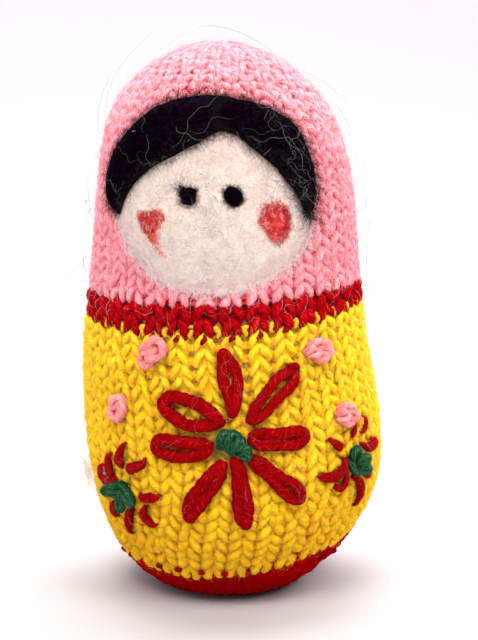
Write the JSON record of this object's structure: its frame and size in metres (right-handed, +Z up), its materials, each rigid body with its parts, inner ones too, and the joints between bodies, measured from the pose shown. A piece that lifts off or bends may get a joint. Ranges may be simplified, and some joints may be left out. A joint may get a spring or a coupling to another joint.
{
  "type": "knitted matryoshka doll",
  "caption": "Soft knitted doll in the shape of a nesting doll: pink hood, red neck band, yellow embroidered body, red base, needle-felted face and hair.",
  "frame": {"origin": "centre of the flat rest face under the base", "axes": "+Z up through the crown, the face looks along -Y, +X to the viewer's right when the face is seen from the front"},
  "size_m": [0.0665, 0.0683, 0.1207],
  "materials": {
    "yellow_knit": "matte",
    "red_knit": "matte",
    "pink_knit": "matte",
    "filling": "matte",
    "cream_felt": "matte",
    "black_felt": "matte",
    "coral_felt": "matte",
    "red_yarn": "matte",
    "green_yarn": "matte",
    "pink_yarn": "matte"
  },
  "bodies": {
    "root": {"body_shell": "yellow_knit", "neck_band": "red_knit", "hood_shell": "pink_knit", "base_cap": "red_knit", "stuffing_core": "filling", "felt_face": "cream_felt", "felt_hair": "black_felt", "eye_left": "black_felt", "eye_right": "black_felt", "cheek_left": "coral_felt", "cheek_right": "coral_felt", "petal_top": "red_yarn", "petal_upper_right": "red_yarn", "petal_right": "red_yarn", "petal_lower_right": "red_yarn", "petal_bottom": "red_yarn", "petal_lower_left": "red_yarn", "petal_left": "red_yarn", "petal_upper_left": "red_yarn", "flower_centre": "green_yarn", "knot_upper_left": "pink_yarn", "knot_upper_right": "pink_yarn", "knot_lower_left": "pink_yarn", "knot_lower_right": "pink_yarn", "stitch_left_1": "red_yarn", "stitch_left_2": "red_yarn", "stitch_left_3": "red_yarn", "stitch_left_4": "red_yarn", "stitch_left_5": "red_yarn", "stitch_left_6": "red_yarn", "stitch_left_7": "red_yarn", "stitch_left_8": "red_yarn", "small_centre_left": "green_yarn", "stitch_right_1": "red_yarn", "stitch_right_2": "red_yarn", "stitch_right_3": "red_yarn", "stitch_right_4": "red_yarn", "stitch_right_5": "red_yarn", "stitch_right_6": "red_yarn", "stitch_right_7": "red_yarn", "stitch_right_8": "red_yarn", "small_centre_right": "green_yarn"}
  },
  "joints": []
}
